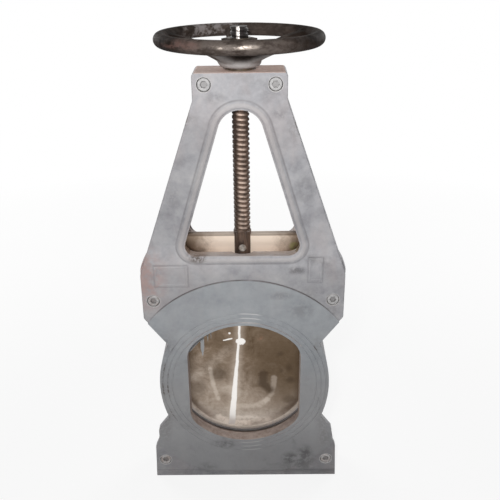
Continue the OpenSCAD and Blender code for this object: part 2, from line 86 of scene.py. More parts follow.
# places worked out from the CAD nodes
cast_low, cast_high = box_mm("front_casting")
ring_low, ring_high = box_mm("seat_ring")
gate_low, gate_high = box_mm("gate")
PLATE_Y = -cast_low.y - BEAD_H
SEAT_Y = PLATE_Y + SEAT_RISE
PORT_Z = (ring_low.z + ring_high.z) / 2
PORT_R = (ring_high.z - ring_low.z) / 2 - RING_W
PORT_FLAT = ring_high.x - RING_W
YOKE_TOP = cast_high.z
SILL_Z = gate_high.z - GATE_RISE
ARCH_Z = YOKE_TOP - ARCH_DROP
CORNER_Z = SILL_Z + CORNER_R - BEAD_W
screw_names = [f"{row}_{hand}_screw" for row in ("top", "middle", "lower") for hand in ("left", "right")]
screw_middles = [sum(box_mm(screw), Vector()) / 2 for screw in screw_names]

# bare pads on the shoulders: x and z of the middle, width and height
MARK_PADS = ((-97, 348, 45, 31), (98, 356, 19, 36))

# greasy smudges: x and z of the middle, radius, height over width, and strength
SMUDGES = (
    (84, 27, 34, 0.6, 0.7),
    (68, 36, 15, 0.9, 0.9),
    (91, 45, 14, 1.3, 0.9),
    (-33, 63, 22, 0.45, 0.9),
    (81, 296, 26, 0.7, 0.38),
    (93, 372, 14, 0.8, 0.45),
    (111, 367, 12, 0.9, 0.45),
    (73, 355, 17, 0.45, 0.8),
    (-60, 18, 20, 0.6, 0.5),
    (52, 318, 20, 0.4, 0.4),
    (34, 596, 16, 0.9, 0.4),
    (47, 568, 11, 0.8, 0.5),
    (18, 608, 14, 0.6, 0.3),
    (-31, 587, 18, 0.5, 0.4),
    (49, 521, 16, 1.6, 0.15),
    (80, 472, 15, 1.8, 0.4),
    (-61, 563, 14, 0.5, 0.4),
    (-87, 457, 14, 1.6, 0.3),
    (92, 321, 18, 0.7, 0.3),
)

# enamel chipped off the side edges: x and z of the middle, and reach
CHIPS = (
    (-109, 240, 12.6),
    (-118, 198, 11.2),
    (-116, 164, 11.2),
    (-113, 113, 12.6),
    (-121, 88, 12.6),
    (119, 77, 12.6),
    (113, 106, 11.2),
    (104, 239, 9.8),
    (-65, 560, 8.4),
    (124, 300, 11.2),
    (66, 548, 8.4),
)


class Link:
    """An output socket in a finish. Arithmetic on it adds the Math nodes."""

    def __init__(self, finish, socket):
        self.finish = finish
        self.socket = socket

    def maths(self, operation, *values):
        return self.finish.node("ShaderNodeMath", {"operation": operation}, dict(enumerate(values)))

    def __add__(self, other):
        return self.maths("ADD", self, other)

    def __radd__(self, other):
        return self.maths("ADD", other, self)

    def __sub__(self, other):
        return self.maths("SUBTRACT", self, other)

    def __rsub__(self, other):
        return self.maths("SUBTRACT", other, self)

    def __mul__(self, other):
        return self.maths("MULTIPLY", self, other)

    def __rmul__(self, other):
        return self.maths("MULTIPLY", other, self)

    def __pow__(self, power):
        return self.maths("POWER", self, power)

    def __abs__(self):
        return self.maths("ABSOLUTE", self)

    def least(self, other):
        return self.maths("MINIMUM", self, other)

    def most(self, other):
        return self.maths("MAXIMUM", self, other)

    def rise(self, low, high):
        """0 below low, 1 above high, and a smooth step between. With low above high it falls."""
        sockets = {0: self, 1: low, 2: high, 3: 0.0, 4: 1.0}
        if low > high:
            sockets = {0: self, 1: high, 2: low, 3: 1.0, 4: 0.0}
        return self.finish.node("ShaderNodeMapRange", {"interpolation_type": "SMOOTHSTEP"}, sockets)


class Finish:
    """A material being mixed, with the piece's own x, y and z in millimetres."""

    def __init__(self, name, colour, roughness, metallic=0.0, **constants):
        self.material = bpy.data.materials.new(name)
        self.material.use_nodes = True
        self.tree = self.material.node_tree
        self.shader = self.tree.nodes["Principled BSDF"]
        self.shader.inputs["Base Color"].default_value = (*colour, 1)
        self.shader.inputs["Roughness"].default_value = roughness
        self.shader.inputs["Metallic"].default_value = metallic
        for socket, value in constants.items():
            self.shader.inputs[socket.replace("_", " ")].default_value = value
        self.colour = colour
        self.place = self.node("ShaderNodeTexCoord", output="Object")
        metres = self.node("ShaderNodeSeparateXYZ", {}, {0: self.place})
        self.x, self.y, self.z = [
            Link(self, metres.socket.node.outputs[axis]) * (1 / MM) for axis in "XYZ"
        ]

    def node(self, kind, settings=None, sockets=None, output=0):
        """Adds a node, its settings first and then the values or links of its sockets."""
        made = self.tree.nodes.new(kind)
        for name, value in (settings or {}).items():
            if name == "stops":
                while len(made.color_ramp.elements) < len(value):
                    made.color_ramp.elements.new(0.5)
                for element, (position, colour) in zip(made.color_ramp.elements, value):
                    element.position = position
                    element.color = (*colour, 1)
            else:
                setattr(made, name, value)
        for name, value in (sockets or {}).items():
            if isinstance(value, Link):
                self.tree.links.new(value.socket, made.inputs[name])
            else:
                made.inputs[name].default_value = value
        return Link(self, made.outputs[output])

    def stretched(self, x=1, y=1, z=1):
        """The place on the piece with its axes scaled. A pattern is drawn out along a small one."""
        return self.node("ShaderNodeMapping", {}, {"Vector": self.place, "Scale": (x, y, z)})

    def noise(self, size_mm, detail=4, roughness=0.55, place=None, distortion=0.0):
        """Even noise from 0 to 1 whose largest lumps are about size_mm across."""
        return self.node(
            "ShaderNodeTexNoise",
            {},
            {
                "Vector": place or self.place,
                "Scale": 1 / (size_mm * MM),
                "Detail": detail,
                "Roughness": roughness,
                "Distortion": distortion,
            },
        )

    def ramp(self, amount, *stops):
        """Colours at their places along amount."""
        return self.node("ShaderNodeValToRGB", {"stops": stops}, {0: amount})

    def blend(self, amount, under, over):
        """Colour over laid on colour under by amount."""
        sockets = {0: amount}
        for name, colour in ((6, under), (7, over)):
            sockets[name] = colour if isinstance(colour, Link) else (*colour, 1)
        return self.node("ShaderNodeMix", {"data_type": "RGBA"}, sockets, output=2)

    def lay(self, amount, over):
        """Lays a colour by amount over all that the finish has so far."""
        self.colour = self.blend(amount, self.colour, over)

    def disc(self, x, z, radius, soft, tall=1.0, ragged=0.0):
        """1 within radius of the point x, z in the valve's upright plane, fading out over soft.

        It is tall times as high as it is wide, and ragged, a noise in mm, tears its edge.
        """
        away = ((self.x - x) ** 2 + ((self.z - z) * (1 / tall)) ** 2) ** 0.5 + ragged
        return away.rise(radius + soft, radius)

    def stroke(self, width, ragged, *points):
        """1 along the line through points in x and z, fading out over its half width.

        ragged, a noise in mm, tears its edge.
        """
        total = None
        for (x, z), (end_x, end_z) in zip(points, points[1:]):
            run, rise = end_x - x, end_z - z
            across, up = self.x - x, self.z - z
            along = ((across * run + up * rise) * (1 / (run ** 2 + rise ** 2))).most(0).least(1)
            away = ((across - along * run) ** 2 + (up - along * rise) ** 2) ** 0.5 + ragged
            part = away.rise(width, width * 0.25)
            total = part if total is None else total.most(part)
        return total

    def set(self, socket, link):
        """Feeds one of the shader's sockets."""
        self.tree.links.new(link.socket, self.shader.inputs[socket])

    def bump(self, height, depth_mm, strength=1.0):
        """Raises the surface by height, which runs from 0 to 1, times depth_mm."""
        bumped = self.node(
            "ShaderNodeBump",
            {},
            {"Strength": strength, "Distance": depth_mm * MM, "Height": height},
        )
        self.set("Normal", bumped)


def window_distance(finish):
    """Distance in mm outside the window bead's outer edge, which wraps three round corners."""
    rise = ARCH_Z - CORNER_Z
    share = (ARCH_R - CORNER_R) / math.hypot(CORNER_X, rise)
    lean = math.atan2(CORNER_X, rise) - math.asin(share)
    out_x, out_z = math.cos(lean), math.sin(lean)
    cut_x, cut_z = out_x, out_z - 1
    cut = math.hypot(cut_x, cut_z)
    raised = finish.y.rise(-0.1, 0.1) * REAR_SILL_RISE
    corner_x = CORNER_X - raised * (out_z / out_x)
    corner_z = raised + CORNER_Z
    across = abs(finish.x) - corner_x
    above = finish.z - corner_z
    side = across * out_x + above * out_z - CORNER_R
    foot = 0 - above - CORNER_R
    arch_cut = finish.z - (ARCH_Z + ARCH_R * out_z)
    corner_cut = across * (cut_x / cut) + above * (cut_z / cut) - CORNER_R * cut / 2
    straight = side.most(foot).most(arch_cut).most(corner_cut)
    corner = (across ** 2 + above ** 2) ** 0.5 - CORNER_R
    arch = (finish.x ** 2 + (finish.z - ARCH_Z) ** 2) ** 0.5 - ARCH_R
    return straight.least(corner).least(arch)


class CastingFinish(Finish):
    """A finish for the castings, with the distances, masks and noises that its layers share."""

    def __init__(self, name, colour, roughness, **constants):
        super().__init__(name, colour, roughness, **constants)
        self.broad = self.noise(60, 4, 0.6)
        self.lumps = self.noise(21, 5, 0.62)
        self.speckle = self.noise(6, 4, 0.65)
        self.cloud = self.noise(40, 5, 0.7, distortion=0.6)
        self.broken = self.noise(30, 4, 0.6).rise(0.25, 0.60)
        self.depth = abs(self.y)
        self.front = self.y.rise(10, -10)
        self.low = self.z.rise(330, 40)
        self.from_bead = window_distance(self)
        self.from_port = (self.x ** 2 + (self.z - PORT_Z) ** 2) ** 0.5
        self.in_seat = self.from_port.rise(SEAT_R + 0.4, SEAT_R - 0.4)
        self.seat = self.in_seat * self.depth.rise(PLATE_Y + 0.8, PLATE_Y + 1.4)


def enamel_coat(paint):
    """The enamel itself, bluer and more even on the flange seat, with drifts where it is thin."""
    mottle = (paint.broad * 0.35 + paint.lumps * 0.45 + paint.speckle * 0.2 - 0.5) * 1.5 + 0.5
    paint.colour = paint.ramp(
        mottle,
        (0.28, (0.315, 0.312, 0.332)),
        (0.50, (0.448, 0.444, 0.464)),
        (0.72, (0.560, 0.550, 0.556)),
    )
    even = paint.ramp(mottle, (0.30, (0.345, 0.368, 0.392)), (0.70, (0.448, 0.468, 0.488)))
    paint.lay(paint.seat * 0.85, even)
    warm = paint.noise(48, 4, 0.65, place=paint.stretched(z=0.5)).rise(0.47, 0.68)
    paint.lay(warm * 0.30 * (1 - paint.seat * 0.7), (0.50, 0.435, 0.425))
    lower = paint.seat * paint.z.rise(230, 150)
    paint.lay(lower * 0.45, (0.425, 0.405, 0.400))
    crest = paint.depth.rise(PLATE_Y + 1.2, PLATE_Y + 2.2) * paint.from_bead.rise(1.5, -1.0)
    paint.lay(crest * 0.5, (0.52, 0.485, 0.475))


def greasy_smudges(paint):
    """Marks of hands and grease, most of them low on the body."""
    paint.lay(paint.cloud.rise(0.52, 0.70) * (0.10 + 0.30 * paint.low), (0.22, 0.215, 0.22))
    ragged = paint.noise(14, 6, 0.75).rise(0.36, 0.58)
    for x, z, radius, tall, strength in SMUDGES:
        patch = paint.disc(x, z, radius * 0.15, radius, tall) * ragged * paint.front
        paint.lay(patch * strength, (0.145, 0.140, 0.145))


def chipped_edges(paint):
    """Dark iron where the enamel is chipped off the castings' side edges."""
    under_top = paint.depth - PLATE_Y - paint.in_seat * SEAT_RISE
    at_edge = under_top.rise(-4, -2.2) * (0.22 + 0.78 * under_top.rise(-0.05, -0.5))
    chipped = paint.noise(5, 5, 0.72).rise(0.42, 0.52) * at_edge
    torn = (paint.noise(9, 4, 0.7) - 0.5) * 14
    for x, z, reach in CHIPS:
        paint.lay(paint.disc(x, z, 2, reach, 1.8, torn) * chipped * 0.9, (0.115, 0.085, 0.068))


def painted_groove_glints(paint):
    """Painted highlights: short bright lines in the sealing grooves, above and below the port."""
    near_groove = abs(paint.from_port - PORT_R - GROOVE_GAP)
    lines = near_groove.least(abs(near_groove - GROOVE_STEP)).rise(1.4, 0.4)
    above_and_below = 0.55 * paint.z.rise(270, 276) + 0.40 * paint.z.rise(72, 68)
    glint = lines * abs(paint.x - 9).rise(19, 9) * above_and_below
    # painted highlight: pale lines laid in the grooves at the port's top and bottom
    paint.lay(glint * paint.front, (0.86, 0.85, 0.84))


def painted_shade_and_primer(paint):
    """Painted shade darkening the legs, the body below the sill, round the port and on the foot, and red
    primer where the left shoulder is rubbed.
    """
    legs = paint.z.rise(580, 535) * paint.z.rise(375, 410)
    shade_on_legs = legs * (0.10 + 0.10 * paint.x.rise(20, -20))
    shade_below_sill = (0.20 - paint.seat * 0.05) * paint.z.rise(372, 345)
    shade_round_port = 0.13 * paint.z.rise(290, 190)
    on_foot = (0.08 + 0.09 * paint.x.rise(-60, 60)) * paint.z.rise(110, 40)
    # painted shade: the castings laid darker towards the bottom, under the sill and round the port
    paint.lay(shade_on_legs + shade_below_sill + shade_round_port + on_foot, (0.03, 0.028, 0.028))
    rubbed = paint.disc(-134, 345, 10, 30, 1.7) * paint.noise(14, 5, 0.7).rise(0.32, 0.60)
    paint.lay(rubbed * 0.7, (0.43, 0.285, 0.255))


def painted_crease_shade(paint):
    """Painted shade along the bead's outer edge, the flange seat's step, the pads' feet and the foot's
    step, and in one window corner, broken up by noise.
    """
    # painted shade: dark lines laid in the creases where the bead, the seat's step, the pads and the
    # foot's step meet the plate
    groove = abs(paint.from_bead - 0.5).rise(1.9, 0.2) * paint.depth.rise(PLATE_Y - 2, PLATE_Y - 0.5)
    paint.lay(groove * (0.18 + paint.broken * (0.30 + 0.3 * paint.low)), (0.135, 0.125, 0.125))
    step = abs(paint.from_port - (SEAT_R + 0.5)).rise(1.2, 0.2) * paint.z.rise(275, 310)
    paint.lay(step * (0.35 + paint.broken * 0.5), (0.090, 0.080, 0.078))
    on_pad = paint.depth.rise(PLATE_Y + 1.2, PLATE_Y + 0.4)
    for x, z, width, height in MARK_PADS:
        beside = (abs(paint.x - x) - width / 2).most(abs(paint.z - z) - height / 2)
        edge = abs(beside - 0.6).rise(1.8, 0.2) * on_pad * paint.front
        paint.lay(edge * (0.05 + paint.broken * 0.28), (0.15, 0.145, 0.150))
    # painted shade: a dark patch in the window's lower left corner
    nook = paint.disc(-60, 379, 7, 11, 0.8) * paint.noise(8, 4, 0.7).rise(0.36, 0.56) * paint.front
    paint.lay(nook * 0.9, (0.085, 0.062, 0.048))
    strip = abs(paint.z - (FOOT_STRIP_H + 0.5)).rise(1.6, 0.4)
    strip = strip * paint.depth.rise(PLATE_Y - 1.5, PLATE_Y - 0.5)
    paint.lay(strip * (0.1 + paint.broken * 0.35), (0.17, 0.165, 0.17))


def screw_wells(paint):
    """The counterbores round the screw heads, painted pale as painted light and then darkened in patches
    as painted shade, least of it in the top block.
    """
    for middle in screw_middles:
        well = paint.disc(middle.x, middle.z, COUNTERBORE_R + 0.5, 0.8) * paint.y.rise(5, 0)
        well_shade = 0.12 if middle.z > SILL_Z else 0.35
        # painted light: the counterbores are laid paler than the enamel, with painted shade over them
        paint.lay(well, (0.60, 0.585, 0.58))
        paint.lay(well * paint.broken * well_shade, (0.19, 0.18, 0.18))


def window_walls(paint):
    """The window's walls and sill, stained by the gate's grease."""
    inner = paint.from_bead.rise(-BEAD_W + 2.0, -BEAD_W + 0.6)
    stain = paint.noise(26, 5, 0.65).rise(0.3, 0.65) * paint.z.rise(500, 385)
    walls = inner * paint.depth.rise(PLATE_Y + 1, PLATE_Y - 1)
    paint.lay(walls * (0.25 + stain * 0.6), (0.39, 0.32, 0.285))


def block_top(paint):
    """Rust and old primer on the top block's upper face, painted paler than they are as painted light,
    since the lamp only grazes that face.
    """
    crown = paint.z.rise(YOKE_TOP - 0.9, YOKE_TOP - 0.2)
    grain = paint.speckle * 0.5 + paint.lumps * 0.5
    # painted light: this colour is laid on paler than the face's own, for a face that the lamp only
    # grazes
    rust_painted_light = paint.ramp(grain, (0.38, (0.66, 0.48, 0.42)), (0.62, (0.88, 0.72, 0.65)))
    paint.lay(crown, rust_painted_light)
    paint.lay(crown * paint.x.rise(0, 60) * 0.3, (0.50, 0.32, 0.24))


def port_wall(paint):
    """The port's bare wall, bored and blotched with pink oxide, with a painted highlight down its right
    flat. Returns where it is.
    """
    flat_wall = abs(paint.x).rise(PORT_FLAT + 1.0, PORT_FLAT + 0.3)
    round_wall = paint.from_port.rise(PORT_R + 5.2, PORT_R + 4.6)
    bore = round_wall * flat_wall * paint.depth.rise(SEAT_Y - 0.2, SEAT_Y - 0.8)
    blotches = paint.noise(11, 5, 0.68)
    oxide = paint.ramp(blotches, (0.36, (0.27, 0.215, 0.195)), (0.62, (0.42, 0.36, 0.335)))
    paint.lay(bore, oxide)
    # painted highlight: the upper part of the right flat is laid pale as if lit
    right_flat = paint.x.rise(PORT_FLAT - 1.5, PORT_FLAT - 0.5)
    rubbed = bore * right_flat * paint.z.rise(PORT_Z - 60, PORT_Z - 40)
    paint.lay(rubbed * 0.8, (0.70, 0.63, 0.58))
    return bore


def grey_enamel(name):
    """Pale grey enamel on cast iron, with grime, painted shade and highlights, primer and bare machined
    places.
    """
    paint = CastingFinish(name, (0.45, 0.45, 0.47), 0.55, Specular_IOR_Level=0.28)
    enamel_coat(paint)
    greasy_smudges(paint)
    chipped_edges(paint)
    painted_groove_glints(paint)
    painted_shade_and_primer(paint)
    painted_crease_shade(paint)
    screw_wells(paint)
    window_walls(paint)
    block_top(paint)
    bore = port_wall(paint)
    paint.set("Base Color", paint.colour)
    paint.set("Roughness", 0.50 + 0.16 * paint.speckle + 0.08 * paint.cloud - paint.seat * 0.05)
    paint.set("Metallic", bore * 0.3)
    skin = paint.noise(2.4, 3, 0.5)
    cast = paint.broad * 0.5 + paint.lumps * 0.9 + paint.speckle * 0.5 + skin * 0.14
    paint.bump(cast * (1 - paint.seat * 0.7), 0.75, 0.9)
    return paint.material


def select_only(piece):
    """Selects the piece alone and makes it active."""
    bpy.ops.object.select_all(action="DESELECT")
    piece.select_set(True)
    bpy.context.view_layer.objects.active = piece


def coat(piece, material):
    """Gives the piece one material all over."""
    piece.data.materials.clear()
    piece.data.materials.append(material)


def free_copy(source, name):
    """A piece with a mesh of its own, free of the CAD frame."""
    piece = source.copy()
    piece.data = source.data.copy()
    piece.name = name
    piece.parent = None
    for key in list(piece.keys()):
        del piece[key]
    bpy.context.scene.collection.objects.link(piece)
    select_only(piece)
    return piece


def merged_copy(node, name, levels_mm=()):
    """A copy of a CAD node's mesh, its triangles merged into whole faces that stop at the levels."""
    piece = free_copy(nodes[node], name)
    bpy.ops.object.mode_set(mode="EDIT")
    bpy.ops.mesh.select_all(action="SELECT")
    bpy.ops.mesh.remove_doubles(threshold=0.001 * MM)
    for level in levels_mm:
        bpy.ops.mesh.select_all(action="SELECT")
        bpy.ops.mesh.bisect(plane_co=(0, 0, level * MM), plane_no=(0, 0, 1))
        bpy.ops.mesh.mark_seam()
    bpy.ops.mesh.select_all(action="SELECT")
    bpy.ops.mesh.dissolve_limited(angle_limit=math.radians(0.3), delimit={"NORMAL", "SEAM"})
    bpy.ops.mesh.select_all(action="DESELECT")
    bpy.ops.object.mode_set(mode="OBJECT")
    return piece


def round_edges(piece, width_mm, weigh, segments=3):
    """Rounds the edges for which weigh(middle, angle) gives a share of the width."""
    mesh = piece.data
    sides = {}
    for face in mesh.polygons:
        for key in face.edge_keys:
            sides.setdefault(key, []).append(face.normal)
    weight = mesh.attributes.new("bevel_weight_edge", "FLOAT", "EDGE")
    for edge in mesh.edges:
        normals = sides.get(tuple(sorted(edge.vertices)), [])
        if len(normals) == 2:
            angle = math.degrees(normals[0].angle(normals[1], 0))
            start, end = (mesh.vertices[index].co for index in edge.vertices)
            weight.data[edge.index].value = weigh((start + end) / 2 / MM, angle)
    select_only(piece)
    bevel = piece.modifiers.new("Rounded", "BEVEL")
    bevel.limit_method = "WEIGHT"
    bevel.width = width_mm * MM
    bevel.segments = segments
    bevel.use_clamp_overlap = False
    bpy.ops.object.modifier_apply(modifier="Rounded")
    bpy.ops.object.shade_smooth_by_angle(angle=math.radians(32))
    flat = piece.modifiers.new("Flat", "WEIGHTED_NORMAL")
    flat.keep_sharp = True
    flat.weight = 100
    bpy.ops.object.modifier_apply(modifier="Flat")


def casting_edge(middle, angle):
    """Share of the cast edges' radius that an edge gets, by where its middle lies."""
    depth = abs(middle.y)
    from_port = math.hypot(middle.x, middle.z - PORT_Z)
    at_foot = middle.z < FOOT_STRIP_H + 2
    at_rear_heel = middle.y > 0 and abs(middle.x) > HEEL_X and middle.z < HEEL_Z
    if angle < 30 or depth < PLATE_Y - 1.5 or at_foot or at_rear_heel:
        return 0
    if any(math.hypot(middle.x - screw.x, middle.z - screw.z) < WELL_R for screw in screw_middles):
        return WELL_SHARE
    if from_port < GROOVES_R and depth > SEAT_Y - 1:
        return GROOVE_SHARE
    if from_port < SEAT_R + 1 and depth > PLATE_Y + 1.5:
        return SEAT_SHARE
    if depth > PLATE_Y + 0.2:
        return BEAD_SHARE
    return PLATE_SHARE if depth > PLATE_Y - 0.2 else 0


enamel = grey_enamel("grey_enamel")

# faces are split at the levels of the screws, the port and the window, so that none has a hole in it
levels = {round(middle.z, 2) for middle in screw_middles} | {PORT_Z, (CORNER_Z + ARCH_Z) / 2}
for half in ("front", "rear"):
    casting = merged_copy(f"{half}_casting", f"{half}_cast_half", sorted(levels))
    round_edges(casting, CAST_EDGE, casting_edge)
    coat(casting, enamel)
    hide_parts(f"{half}_casting")
    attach(casting, "valve_body")


# ---- Gate ----
# Stainless plate, ground across its width, with painted highlights down its face and beside the stem.
# Its round foot is bevelled to close on the seat. Pulp has stained it brown, and wall paint has run onto
# its corner.

GATE_FOOT_R = PORT_Z - gate_low.z
GATE_BEVEL = 4
STREAK_X = -7
STREAK_TOP = 238
STREAK_LEAN = 0.089

# marks that the pulp's swirl rubbed pale: strength, half width, ragged edge, and points in x and z
RUBBED_MARKS = (
    (0.20, 12, 1, (-78, 165), (-51, 188), (-24, 215)),
    (0.55, 5, 0.6, (-51, 183), (-47, 154), (-40, 129)),
    (0.50, 7, 1, (-14, 114), (22, 117), (34, 126)),
    (0.32, 6, 1, (30, 122), (41, 138), (44, 166)),
    (0.45, 15, 1, (-12, 97), (22, 92), (50, 92)),
    (0.40, 15, 1, (-66, 112), (-40, 92), (-20, 86)),
    (0.30, 12, 1, (-30, 148), (-12, 140)),
)

# brown spots: strength, x and z of the middle, radius, soft edge, and height over width
BROWN_SPOTS = (
    (0.55, -39, 174, 5, 12, 1.0),
    (0.55, 53, 208, 1, 7, 0.8),
    (0.60, 66, 184, 1, 9, 1.2),
    (0.55, 55, 178, 0, 6, 1.0),
    (0.60, 68, 162, 2, 9, 0.8),
    (0.45, 66, 127, 3, 12, 0.8),
    (0.35, -68, 150, 3, 14, 1.4),
)

# runs of wall paint: x, half width, and z of the tip
PAINT_RUNS = ((-61, 2.8, 205), (-52.5, 1.6, 230), (-48, 1.3, 234))


class GateFinish(Finish):
    """A finish for the gate, with the masks and noises that its layers share."""

    def __init__(self, name, colour, roughness, metallic, **constants):
        super().__init__(name, colour, roughness, metallic, **constants)
        self.scratches = self.noise(1.8, 5, 0.75, place=self.stretched(x=0.03))
        self.clouds = self.noise(34, 5, 0.66, distortion=0.9)
        self.fine = self.noise(8, 5, 0.7, distortion=0.4)
        self.ragged = (self.noise(14, 4, 0.6) - 0.5) * 9
        self.jagged = (self.noise(5, 4, 0.7) - 0.5) * 7
        self.front = self.y.rise(1, -1)
        self.in_port = self.z.rise(300, 290) * self.front


def brown_film(steel):
    """Brown film, thinner and paler towards the foot and the left. Returns its pale part."""
    mottle = steel.clouds * 0.62 + steel.fine * 0.28 + steel.scratches * 0.1
    upper = steel.ramp(
        mottle,
        (0.36, (0.118, 0.080, 0.050)),
        (0.52, (0.200, 0.145, 0.100)),
        (0.66, (0.300, 0.225, 0.165)),
    )
    lower = steel.ramp(
        mottle,
        (0.34, (0.205, 0.155, 0.115)),
        (0.52, (0.340, 0.272, 0.215)),
        (0.66, (0.470, 0.395, 0.330)),
    )
    thin = (175 - steel.z - steel.x * 0.35 + (steel.clouds - 0.5) * 90).rise(-35, 45)
    steel.colour = steel.blend(thin, upper, lower)
    right = steel.disc(56, 180, 14, 52, 1.5) * (0.5 + 0.5 * steel.clouds.rise(0.34, 0.56))
    steel.lay(right * 0.72, (0.092, 0.060, 0.034))
    pale = steel.z.rise(PORT_Z - 45, PORT_Z - 92) * (0.62 + 0.33 * steel.fine.rise(0.38, 0.58))
    steel.lay(pale * 0.85, (0.60, 0.52, 0.45))
    return pale


def swirl_marks(steel):
    """Pale marks rubbed by the pulp's swirl, with brown spots and a red one between them."""
    grain = 0.5 + 0.5 * steel.fine.rise(0.35, 0.55)
    for strength, width, ragged, *points in RUBBED_MARKS:
        rubbed = steel.stroke(width, steel.ragged * ragged, *points)
        steel.lay(rubbed * (strength * grain), (0.64, 0.555, 0.475))
    brown = (0.070, 0.047, 0.031)
    steel.lay(steel.stroke(10, steel.ragged, (27, 173), (27, 156), (38, 144)) * 0.75, brown)
    for strength, x, z, radius, soft, tall in BROWN_SPOTS:
        steel.lay(steel.disc(x, z, radius, soft, tall, steel.ragged) * strength, brown)
    red = steel.disc(23, 236, 1, 8, 0.7, steel.ragged) * steel.fine.rise(0.4, 0.6)
    steel.lay(red * 0.5, (0.34, 0.15, 0.09))


def painted_highlight_streak(steel):
    """A painted highlight: a bright streak down the face, a glow round it, a bright patch at its foot
    and a few flecks. Returns the streak alone and with the flecks.
    """
    down = steel.z.rise(232, 84)
    wander = steel.noise(16, 3, 0.5, place=steel.stretched(x=0.2)) - 0.5
    lean = (STREAK_TOP - steel.z).most(0) * STREAK_LEAN
    off_line = abs(steel.x - STREAK_X + lean - wander * 3)
    streak = (off_line - 0.8 - down * 3.2).rise(1.6, 0) * steel.z.rise(74, 84) * steel.in_port
    glow = (off_line - down * 3).rise(12, 0) * (0.20 + 0.25 * steel.scratches) * steel.in_port
    # painted highlight: a pale glow round the streak
    steel.lay(glow, (0.72, 0.62, 0.53))

    # painted highlight: a bright patch where the streak meets the foot
    highlight_foot = steel.stroke(9, steel.jagged, (-40, 94), (-24, 84), (4, 84)) * steel.front
    edge = steel.ragged * 0.8 + steel.jagged * 0.5
    faint = steel.stroke(8, edge, (-10, 92), (34, 90)) * steel.front * 0.55
    highlight_foot = highlight_foot.most(faint)
    steel.lay(highlight_foot * (0.55 + 0.45 * steel.fine.rise(0.36, 0.5)), (1.0, 0.90, 0.79))

    # painted highlight: the bright spot and flecks of the lamp's reflection
    blot = steel.disc(-5, 230, 6, 1.6, 0.8, steel.jagged)
    fleck = steel.disc(-21, 244, 0.8, 1.6, 1.0, steel.jagged * 0.4)
    dash = steel.stroke(1.6, steel.jagged * 0.4, (-30, 232), (-18, 235))
    painted_shine = streak.most(blot).most(fleck).most(dash) * steel.front
    steel.lay(painted_shine, (1.0, 0.97, 0.93))
    return streak, painted_shine


def window_strip(steel):
    """The strip that shows in the window, with a painted highlight beside the stem. Returns it and the
    highlight.
    """
    strip = steel.z.rise(366, 372)
    # painted highlight: pale beside the stem, falling off to the sides
    sheen_beside_stem = (abs(steel.x - 2) - (steel.fine - 0.5) * 30).rise(78, 28)
    band = steel.ramp(
        sheen_beside_stem * 0.85 + steel.fine * 0.15,
        (0.12, (0.40, 0.30, 0.225)),
        (0.85, (1.0, 0.84, 0.70)),
    )
    rim = steel.z.rise(gate_high.z - 3.2, gate_high.z - 2.2)
    band = steel.blend(rim * 0.6, band, (0.10, 0.07, 0.05))
    stain = steel.disc(70, 381, 3, 6) * steel.fine.rise(0.3, 0.5)
    band = steel.blend(stain * 0.8, band, (0.46, 0.44, 0.20))
    steel.lay(strip, band)
    return strip, sheen_beside_stem


def bare_foot(steel):
    """The land round the gate's foot, rubbed bare by the seat and painted paler still as painted light,
    and the bevel below it, painted light where it faces down into shade.
    """
    foot = steel.z.rise(PORT_Z - 30, PORT_Z - 50)
    from_port = (steel.x ** 2 + (steel.z - PORT_Z) ** 2) ** 0.5
    bevel_r = GATE_FOOT_R - GATE_BEVEL
    land = from_port.rise(bevel_r - 7, bevel_r - 3) * foot
    steel.lay(land * (0.65 + 0.35 * steel.fine.rise(0.3, 0.5)), (1.0, 0.90, 0.79))
    # painted light: the bevel faces down into shade and is laid pale
    bevel = from_port.rise(bevel_r + 0.1, bevel_r + 0.4) * foot
    steel.lay(bevel, (0.80, 0.72, 0.66))
    return land, bevel


def splashed_paint(steel):
    """Grey wall paint splashed and run down at the port's upper left corner. Returns where it is."""
    slope = steel.z - 214 - (steel.x + 78) * 1.2 + steel.ragged * 0.9 + steel.jagged * 0.8
    splash = slope.rise(0, 1.5) * steel.x.rise(-52, -60)
    for x, width, tip in PAINT_RUNS:
        taper = ((steel.z - tip) * 0.06 + 0.15).least(1) * width
        run = taper - abs(steel.x - x + steel.jagged * 0.3)
        splash = splash.most(run.rise(0, 0.5) * steel.z.rise(tip - 1, tip))
    splash = splash * steel.in_port
    steel.lay(splash, (0.36, 0.37, 0.38))
    return splash


def ground_stainless(name):
    """Ground stainless steel under brown film, rubbed bare in places, with painted highlights."""
    steel = GateFinish(name, (0.20, 0.15, 0.11), 0.3, 1.0, Anisotropic=0.75)
    pale = brown_film(steel)
    swirl_marks(steel)
    streak, painted_shine = painted_highlight_streak(steel)
    strip, sheen_beside_stem = window_strip(steel)
    land, bevel = bare_foot(steel)
    splash = splashed_paint(steel)
    steel.lay((1 - steel.front) * 0.4, (0.30, 0.25, 0.21))
    steel.set("Base Color", steel.colour)
    grain = 0.20 + 0.14 * steel.clouds + 0.08 * steel.scratches
    steel.set("Roughness", grain + 0.35 * splash + 0.12 * strip + 0.25 * bevel + 0.1 * painted_shine)
    dull = (pale * 0.95 + land * 0.5 + bevel * 0.75) * (1 - streak * 0.6) + strip * sheen_beside_stem * 0.6
    steel.set("Metallic", (1 - splash - dull).most(0))
    steel.bump(steel.scratches * 0.6 + steel.fine * 0.4, 0.02, 0.5)
    return steel.material


coat(nodes["gate"], ground_stainless("ground_stainless"))


# ---- Stem ----
# Turned steel with a left-hand trapezoidal thread of 6.35 mm lead. Its forked foot straddles the
# gate, and a button-head screw goes through both. Grease has baked brown in the roots.

STEM_D = 22
THREAD_LEAD = 6.35
THREAD_DEPTH = 1.4
THREAD_STEPS = 48
THREAD_MERGE = 0.002
FORK_OVER_GATE = 5.5
FORK_TOP = gate_high.z + FORK_OVER_GATE
STEM_TOP = box_mm("stem")[1].z


